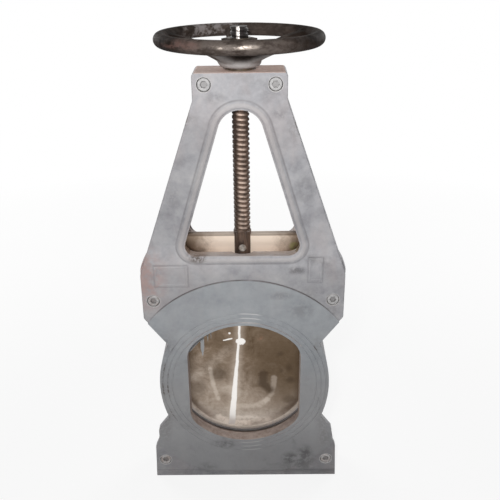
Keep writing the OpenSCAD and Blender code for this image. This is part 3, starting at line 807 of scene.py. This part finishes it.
def greased_steel(name):
    """Stem steel, brown with baked grease, painted darker down its left side as painted shade, and bare
    along the crests in front, where a painted highlight lies.
    """
    steel = Finish(name, (0.16, 0.12, 0.10), 0.45, 0.5, Specular_IOR_Level=0.4)
    film = steel.noise(9, 4, 0.65, place=steel.stretched(z=0.35))
    steel.colour = steel.ramp(film, (0.36, (0.046, 0.029, 0.021)), (0.60, (0.140, 0.088, 0.063)))
    # painted shade: darker down the left side
    steel.lay(steel.x.rise(-2, -8) * 0.6, (0.030, 0.020, 0.015))
    from_axis = (steel.x ** 2 + steel.y ** 2) ** 0.5
    crest = from_axis.rise(STEM_D / 2 - 0.7, STEM_D / 2 - 0.1) * steel.z.rise(FORK_TOP, FORK_TOP + 2)
    # painted highlight: the crests are laid bright only in front, near the middle
    bare = crest * abs(steel.x - 1.0).rise(7.5, 3.0) * (0.5 + 0.5 * film.rise(0.35, 0.6))
    steel.lay(bare * 0.9, (0.62, 0.48, 0.40))

    # the end that stands over the hub, painted near black with a painted highlight bar in front
    capped = steel.z.rise(YOKE_TOP + 8, YOKE_TOP + 12)
    steel.lay(capped, (0.016, 0.012, 0.011))
    highlight_bar = capped * abs(steel.x + 1.5).rise(2.4, 1.4) * steel.y.rise(-5, -7)
    steel.lay(highlight_bar, (0.85, 0.80, 0.76))
    bare = (bare * (1 - capped)).most(highlight_bar)
    steel.set("Base Color", steel.colour)
    steel.set("Roughness", 0.50 - bare * 0.18 + film * 0.1)
    steel.set("Metallic", 0.25 + bare * 0.6)
    steel.bump(steel.noise(1.2, 3, 0.6), 0.05, 0.5)
    return steel.material


def traced(name, points_mm):
    """A line through points in x and z, drawn by pulling one vertex from each to the next."""
    bpy.ops.object.select_all(action="DESELECT")
    first = Vector((points_mm[0][0], 0, points_mm[0][1])) * MM
    bpy.ops.mesh.primitive_plane_add(size=MM, location=first)
    line = bpy.context.object
    line.name = name
    bpy.ops.object.transform_apply(location=True, rotation=True, scale=True)
    bpy.ops.object.mode_set(mode="EDIT")
    bpy.ops.mesh.select_all(action="SELECT")
    bpy.ops.mesh.merge(type="CENTER")
    for here, there in zip(points_mm, points_mm[1:]):
        pull = (Vector(there) - Vector(here)) * MM
        bpy.ops.mesh.extrude_region_move(TRANSFORM_OT_translate={"value": (pull.x, 0, pull.y)})
    bpy.ops.object.mode_set(mode="OBJECT")
    return line


def cut_level(height_mm, keep_above):
    """Cuts the piece being edited at a height, fills the cut and keeps one side of it."""
    bpy.ops.mesh.select_all(action="SELECT")
    bpy.ops.mesh.bisect(
        plane_co=(0, 0, height_mm * MM),
        plane_no=(0, 0, 1),
        use_fill=True,
        clear_outer=not keep_above,
        clear_inner=keep_above,
    )


# one turn of the thread: radius, and height as a share of the lead
root_r = STEM_D / 2 - THREAD_DEPTH
crest_r = STEM_D / 2
tooth = ((root_r, 0.0), (root_r, 0.26), (crest_r, 0.42), (crest_r, 0.80), (root_r, 0.96), (root_r, 1.0))
below_fork = FORK_TOP - THREAD_LEAD
thread = traced("thread", [(radius, below_fork + share * THREAD_LEAD) for radius, share in tooth])
select_only(thread)
winding = thread.modifiers.new("Winding", "SCREW")
winding.axis = "Z"
winding.angle = -2 * math.pi
winding.screw_offset = THREAD_LEAD * MM
winding.iterations = math.ceil((STEM_TOP - FORK_TOP) / THREAD_LEAD) + 2
winding.steps = THREAD_STEPS
winding.render_steps = THREAD_STEPS
winding.use_merge_vertices = True
winding.merge_threshold = THREAD_MERGE * MM
bpy.ops.object.modifier_apply(modifier="Winding")
bpy.ops.object.mode_set(mode="EDIT")
cut_level(FORK_TOP, keep_above=True)
cut_level(STEM_TOP, keep_above=False)
bpy.ops.mesh.select_all(action="SELECT")
bpy.ops.mesh.remove_doubles(threshold=THREAD_MERGE * MM)
bpy.ops.mesh.normals_make_consistent(inside=False)
bpy.ops.object.mode_set(mode="OBJECT")

stem = merged_copy("stem", "rising_stem")
bpy.ops.object.mode_set(mode="EDIT")
cut_level(FORK_TOP, keep_above=False)
bpy.ops.object.mode_set(mode="OBJECT")
thread.select_set(True)
bpy.ops.object.join()
bpy.ops.object.shade_smooth_by_angle(angle=math.radians(25))
coat(stem, greased_steel("greased_steel"))
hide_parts("stem")
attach(stem, "gate_assembly")


# ---- Screws ----
# Socket-head cap screws, sunk in counterbores, that hold the two castings together. They were
# painted over with the body. A zinc-plated button-head screw and thin nut pin the fork to the gate.

HEAD_FACE = -box_mm("top_left_screw")[0].y
HEAD_EDGE = 0.35


def painted_screw(name):
    """Grey enamel over steel, rusting through on the lower screws, with painted shade in the sockets."""
    paint = Finish(name, (0.46, 0.455, 0.455), 0.45, 0.1, Specular_IOR_Level=0.45)
    chips = paint.noise(4, 4, 0.7)
    paint.colour = paint.ramp(chips, (0.36, (0.37, 0.365, 0.365)), (0.64, (0.52, 0.51, 0.505)))
    on_left = paint.z.rise(340, 300) * paint.x.rise(60, -60) * paint.noise(5, 3, 0.6).rise(0.35, 0.6)
    on_foot = paint.z.rise(80, 40) * 0.7 * paint.noise(6, 3, 0.6).rise(0.38, 0.6)
    paint.lay(on_left.most(on_foot) * 0.6, (0.27, 0.19, 0.16))
    # painted shade: darker down in the hex socket
    sunk = (paint.y + HEAD_FACE).rise(0.6, 1.6)
    paint.lay(sunk * 0.5, (0.24, 0.23, 0.23))
    paint.set("Base Color", paint.colour)
    paint.set("Roughness", 0.36 + 0.25 * chips)
    paint.bump(chips, 0.12, 0.7)
    return paint.material


def screw_edge(middle, angle):
    """All of the edge radius on the sharp edges of the head's face, and none elsewhere."""
    return 1.0 if angle > 40 and middle.y < -HEAD_FACE + 1 else 0


screw_paint = painted_screw("painted_screw")
pattern = merged_copy("top_left_screw", "top_left_cap_screw")
round_edges(pattern, HEAD_EDGE, screw_edge, segments=2)
coat(pattern, screw_paint)
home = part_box("top_left_screw")[0]
for screw in screw_names:
    piece = pattern
    if screw != "top_left_screw":
        piece = free_copy(pattern, screw.replace("_screw", "_cap_screw"))
        piece.data.transform(Matrix.Translation(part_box(screw)[0] - home))
    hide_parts(screw)
    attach(piece, "valve_body")


def zinc_plate(name):
    """Dull zinc plating."""
    zinc = Finish(name, (0.50, 0.47, 0.43), 0.4, 0.6)
    dull = zinc.noise(4, 4, 0.65)
    zinc.set("Base Color", zinc.ramp(dull, (0.40, (0.24, 0.20, 0.17)), (0.62, (0.58, 0.54, 0.49))))
    zinc.set("Roughness", 0.30 + dull * 0.25)
    zinc.bump(dull, 0.05, 0.5)
    return zinc.material


plating = zinc_plate("zinc_plate")
for name in ("fork_screw", "fork_nut"):
    coat(nodes[name], plating)


# ---- Stem nut, washers, seat and packing ----
# The bronze nut turns between two bronze washers in the split block, greasy, and painted dark as shade
# under the hub.
# The stainless seat ring lies in the rear half, and braided packing fills the frame under the sill.

def turned_bronze(name):
    """Bronze with fine turning marks, greasy in the block, and painted dark as painted shade above it,
    where it stands under the hub.
    """
    bronze = Finish(name, (0.20, 0.14, 0.08), 0.42, 0.7)
    grease = bronze.noise(7, 4, 0.62)
    above = bronze.z.rise(YOKE_TOP - 1, YOKE_TOP + 2)
    clean = bronze.ramp(grease, (0.36, (0.20, 0.135, 0.070)), (0.62, (0.42, 0.30, 0.16)))
    dark = bronze.ramp(grease, (0.36, (0.020, 0.016, 0.014)), (0.66, (0.085, 0.062, 0.045)))
    # painted shade: darker above the block, under the hub
    bronze.set("Base Color", bronze.blend(0.45 + above * 0.5, clean, dark))
    bronze.set("Roughness", 0.34 + grease * 0.22)
    bronze.set("Metallic", 0.85 - above * 0.5)
    bronze.bump(bronze.noise(0.9, 2, 0.5, place=bronze.stretched(x=0.2, y=0.2)), 0.02, 0.5)
    return bronze.material


def turned_seat_steel(name):
    """Turned stainless steel, a little worn."""
    steel = Finish(name, (0.56, 0.52, 0.47), 0.3, 1.0)
    wear = steel.noise(10, 4, 0.6)
    steel.set("Base Color", steel.ramp(wear, (0.40, (0.36, 0.30, 0.25)), (0.66, (0.60, 0.56, 0.50))))
    steel.set("Roughness", 0.22 + wear * 0.2)
    steel.bump(wear, 0.03, 0.4)
    return steel.material


def braided_packing(name):
    """Square braided cord, its strands crossing slantwise."""
    braid = Finish(name, (0.16, 0.145, 0.12), 0.85)
    strands = braid.node(
        "ShaderNodeTexWave",
        {"bands_direction": "DIAGONAL"},
        {"Vector": braid.place, "Scale": 130.0, "Distortion": 1.5},
    )
    braid.set("Base Color", braid.blend(strands, (0.10, 0.09, 0.075), (0.22, 0.20, 0.165)))
    braid.bump(strands, 0.3, 0.8)
    return braid.material


bronze = turned_bronze("turned_bronze")
for name in ("stem_nut", "lower_thrust_washer", "upper_thrust_washer"):
    coat(nodes[name], bronze)
coat(nodes["seat_ring"], turned_seat_steel("turned_seat_steel"))
packing = braided_packing("braided_packing")
for name in ("front_packing", "rear_packing"):
    coat(nodes[name], packing)


# ---- Handwheel ----
# Dished wheel in one grey-iron casting: a round rim, five arched spokes and a hub, blended by cast
# fillets. Hands have worn its black paint along the rim, and grey overspray lies under the hub.

WHEEL_GRAIN = 1.3
RIM_D = 16.8
HUB_R = 27
wheel_low, wheel_high = box_mm("handwheel")
RIM_R = wheel_high.x - RIM_D / 2
RIM_Z = wheel_high.z - RIM_D / 2
HUB_Z = wheel_low.z


def worn_iron(name):
    """Black paint on cast iron, worn brown by hands, with old primer, dust, overspray and a painted
    highlight on the near rim.
    """
    iron = Finish(name, (0.035, 0.028, 0.025), 0.45, 0.0, Specular_IOR_Level=0.01)
    blotch = iron.noise(22, 5, 0.68, distortion=0.5)
    fine = iron.noise(4, 4, 0.6)
    from_axis = (iron.x ** 2 + iron.y ** 2) ** 0.5
    iron.colour = iron.ramp(blotch, (0.38, (0.006, 0.004, 0.003)), (0.62, (0.026, 0.018, 0.014)))

    # brown round the middle of the wheel's width in x, palest where hands pull the rim, with a painted
    # highlight along the near rim's top
    rim = from_axis.rise(RIM_R - 12, RIM_R - 6)
    worn = iron.noise(13, 5, 0.72, place=iron.stretched(0.6, 0.6, 1.3)).rise(0.40, 0.62)
    paler_middle = abs(iron.x).rise(RIM_R * 0.88, RIM_R * 0.5)
    iron.lay(paler_middle * (0.35 + 0.4 * worn), (0.120, 0.094, 0.081))
    held = rim * iron.y.rise(-30, -75) * abs(iron.x - 4).rise(78, 30)
    iron.lay(held * worn * 0.75, (0.120, 0.100, 0.088))
    # painted highlight: a bright flecked band along the top of the near rim, in front
    near = iron.y.rise(-60, -85) * abs(iron.x + 2).rise(32, 14)
    flecks = iron.noise(5, 4, 0.7, place=iron.stretched(x=0.5)).rise(0.42, 0.60)
    crest = near * abs(iron.z - RIM_Z - 1.5).rise(3.6, 0.6) * (0.20 + 0.80 * flecks)
    iron.lay(crest, (0.44, 0.38, 0.335))

    # old red primer showing at the left and dust along the back
    left = rim * abs(iron.x + 66).rise(30, 14)
    primer = left * abs(iron.z - RIM_Z - 2).rise(7, 2) * iron.y.rise(20, -10)
    iron.lay(primer * worn * 0.6, (0.170, 0.098, 0.084))
    far = iron.y.rise(20, 60) * abs(iron.x + 36).rise(42, 24)
    dust = iron.noise(11, 4, 0.7).rise(0.42, 0.60) * rim * iron.z.rise(RIM_Z - 8, RIM_Z - 2)
    iron.lay(dust * (0.05 + 0.80 * far), (0.33, 0.30, 0.295))

    # grey overspray on the hub's foot and the undersides of the spokes
    over_foot = iron.z - HUB_Z - (from_axis - HUB_R).most(0) * 0.42
    below = over_foot.rise(13, 4) * from_axis.rise(70, 50)
    iron.lay(below * (0.65 + 0.35 * fine), (0.50, 0.47, 0.455))
    iron.set("Base Color", iron.colour)
    iron.set("Roughness", 0.46 - crest * 0.12 + fine * 0.14)
    iron.set("Metallic", crest * 0.55)
    iron.bump(blotch * 1.1 + fine * 0.5, 0.5, 0.7)
    return iron.material


# even cells take the spokes, rim and hub in one skin, and smoothing it rounds the cast fillets
wheel = merged_copy("handwheel", "cast_handwheel")
grain = wheel.modifiers.new("Grain", "REMESH")
grain.mode = "VOXEL"
grain.voxel_size = WHEEL_GRAIN * MM
bpy.ops.object.modifier_apply(modifier="Grain")
fillets = wheel.modifiers.new("Fillets", "SMOOTH")
fillets.factor = 0.5
fillets.iterations = 8
bpy.ops.object.modifier_apply(modifier="Fillets")
bpy.ops.object.shade_smooth()
wheel_iron = worn_iron("worn_iron")
coat(wheel, wheel_iron)
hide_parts("handwheel")
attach(wheel, "wheel_assembly")
for name in ("wheel_nut", "wheel_key"):
    coat(nodes[name], wheel_iron)


# ---- Cast pads ----
# Two bare pads cast on the shoulders, where a foundry would put its mark and the bore.
# They are part of the front half's pattern and painted with it.

PAD_PROUD = 1.3
PAD_RIM = 3
PAD_SLOPE = 0.8
PAD_EDGE = 0.35


def cast_pad(name, x, z, width, height):
    """A raised pad whose middle lies a little below its rim."""
    bpy.ops.object.select_all(action="DESELECT")
    bpy.ops.mesh.primitive_cube_add(
        size=1,
        location=(x * MM, -PLATE_Y * MM, z * MM),
        scale=(width * MM, 2 * PAD_PROUD * MM, height * MM),
    )
    pad = bpy.context.object
    pad.name = name
    bpy.ops.object.transform_apply(location=True, rotation=True, scale=True)
    bpy.ops.object.mode_set(mode="EDIT")
    bpy.ops.mesh.select_all(action="DESELECT")
    bpy.ops.object.mode_set(mode="OBJECT")
    for face in pad.data.polygons:
        face.select = face.normal.y < -0.9
    bpy.ops.object.mode_set(mode="EDIT")
    bpy.ops.mesh.inset(thickness=PAD_RIM * MM)
    bpy.ops.mesh.inset(thickness=PAD_SLOPE * MM, depth=-0.6 * PAD_PROUD * MM)
    bpy.ops.object.mode_set(mode="OBJECT")
    edges = pad.modifiers.new("Edges", "BEVEL")
    edges.limit_method = "ANGLE"
    edges.angle_limit = math.radians(20)
    edges.width = PAD_EDGE * MM
    edges.segments = 2
    bpy.ops.object.modifier_apply(modifier="Edges")
    bpy.ops.object.shade_smooth_by_angle(angle=math.radians(40))
    coat(pad, enamel)
    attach(pad, "valve_body")


for hand, pad_sizes in zip(("left", "right"), MARK_PADS):
    cast_pad(f"{hand}_mark_pad", *pad_sizes)


# ---- Floor, lamps and camera ----
# The valve stands on a plain pale floor in a pale surround. A small soft lamp with a brighter core
# lights it in front, and two large ones light its back.

# floor and lamps in metres, and the camera's angles in degrees
FLOOR_R = 7
FLOOR_DROP = 0.0004
NEAR_GLOW = 0.85
SURROUND = 0.11
LAMP_PLACE = (-0.042, -0.80, 0.81)
LAMP_AIM = (0, 0, 0.55)
BACK_LAMP_OUT = 0.9
BACK_LAMP_AIM = (0, 0, 0.35)
CAMERA_PLACE = Vector((14.44, -838.5, 750.15)) * MM
CAMERA_PITCH = 24.19
CAMERA_ROLL = -0.63
CAMERA_YAW = -0.30
CAMERA_LENS = 48.156


def seen_directly(tree):
    """1 for the camera, mirror-like metal and glass, 0 for diffuse light."""
    path = tree.nodes.new("ShaderNodeLightPath")
    total = path.outputs["Is Camera Ray"]
    for extra in ("Is Glossy Ray", "Is Transmission Ray"):
        add = tree.nodes.new("ShaderNodeMath")
        add.operation = "MAXIMUM"
        tree.links.new(total, add.inputs[0])
        tree.links.new(path.outputs[extra], add.inputs[1])
        total = add.outputs[0]
    return total


def pale_floor(name):
    """Pale grey that shows white where it is seen directly, a shade less under the valve."""
    paint = bpy.data.materials.new(name)
    paint.use_nodes = True
    tree = paint.node_tree
    tree.nodes.clear()
    place = tree.nodes.new("ShaderNodeTexCoord")
    reach = tree.nodes.new("ShaderNodeVectorMath")
    reach.operation = "LENGTH"
    tree.links.new(place.outputs["Object"], reach.inputs[0])
    fade = tree.nodes.new("ShaderNodeMapRange")
    fade.inputs["From Min"].default_value = 0.4
    fade.inputs["From Max"].default_value = 1.6
    fade.inputs["To Min"].default_value = NEAR_GLOW
    fade.inputs["To Max"].default_value = 1.0
    tree.links.new(reach.outputs["Value"], fade.inputs["Value"])
    share = tree.nodes.new("ShaderNodeMath")
    share.operation = "MULTIPLY"
    tree.links.new(seen_directly(tree), share.inputs[0])
    tree.links.new(fade.outputs["Result"], share.inputs[1])
    diffuse = tree.nodes.new("ShaderNodeBsdfDiffuse")
    diffuse.inputs["Color"].default_value = (0.82, 0.82, 0.82, 1)
    glow = tree.nodes.new("ShaderNodeEmission")
    glow.inputs["Strength"].default_value = 1.0
    mixed = tree.nodes.new("ShaderNodeMixShader")
    tree.links.new(share.outputs[0], mixed.inputs["Fac"])
    tree.links.new(diffuse.outputs[0], mixed.inputs[1])
    tree.links.new(glow.outputs[0], mixed.inputs[2])
    output = tree.nodes.new("ShaderNodeOutputMaterial")
    tree.links.new(mixed.outputs[0], output.inputs["Surface"])
    return paint


bpy.ops.object.select_all(action="DESELECT")
bpy.ops.mesh.primitive_circle_add(
    vertices=96, radius=FLOOR_R, fill_type="NGON", location=(0, 0, -FLOOR_DROP)
)
floor = bpy.context.object
floor.name = "floor"
coat(floor, pale_floor("pale_floor"))

# the surround is white where it is seen directly, and dim as a light
world = bpy.data.worlds.new("pale_surround")
bpy.context.scene.world = world
world.use_nodes = True
tree = world.node_tree
background = tree.nodes["Background"]
strength = tree.nodes.new("ShaderNodeMapRange")
strength.inputs["To Min"].default_value = SURROUND
strength.inputs["To Max"].default_value = 1.0
tree.links.new(seen_directly(tree), strength.inputs["Value"])
tree.links.new(strength.outputs["Result"], background.inputs["Strength"])
background.inputs["Color"].default_value = (1, 1, 1, 1)


def soft_lamp(name, place, aim, size, power):
    """A round lamp of a size in metres and a power in watts, turned to its aim."""
    lamp = bpy.data.lights.new(name, "AREA")
    lamp.shape = "DISK"
    lamp.size = size
    lamp.energy = power
    stand = bpy.data.objects.new(name, lamp)
    bpy.context.scene.collection.objects.link(stand)
    stand.location = place
    stand.rotation_euler = (Vector(aim) - Vector(place)).to_track_quat("-Z", "Y").to_euler()


soft_lamp("front_lamp", LAMP_PLACE, LAMP_AIM, 0.10, 5.4)
soft_lamp("glint_lamp", LAMP_PLACE, LAMP_AIM, 0.016, 0.6)
for side in (-1, 1):
    soft_lamp("back_lamp", (BACK_LAMP_OUT * side, BACK_LAMP_OUT, BACK_LAMP_OUT), BACK_LAMP_AIM, 0.8, 8)

camera = bpy.data.objects.new("camera", bpy.data.cameras.new("camera"))
bpy.context.scene.collection.objects.link(camera)
camera.data.lens = CAMERA_LENS
camera.data.sensor_width = 36
camera.data.clip_start = 0.01
camera.matrix_world = (
    Matrix.Translation(CAMERA_PLACE)
    @ Matrix.Rotation(math.radians(-CAMERA_YAW), 4, "Z")
    @ Matrix.Rotation(math.radians(90 - CAMERA_PITCH), 4, "X")
    @ Matrix.Rotation(math.radians(CAMERA_ROLL), 4, "Z")
)
bpy.context.scene.camera = camera
bpy.context.scene.view_settings.view_transform = "Standard"
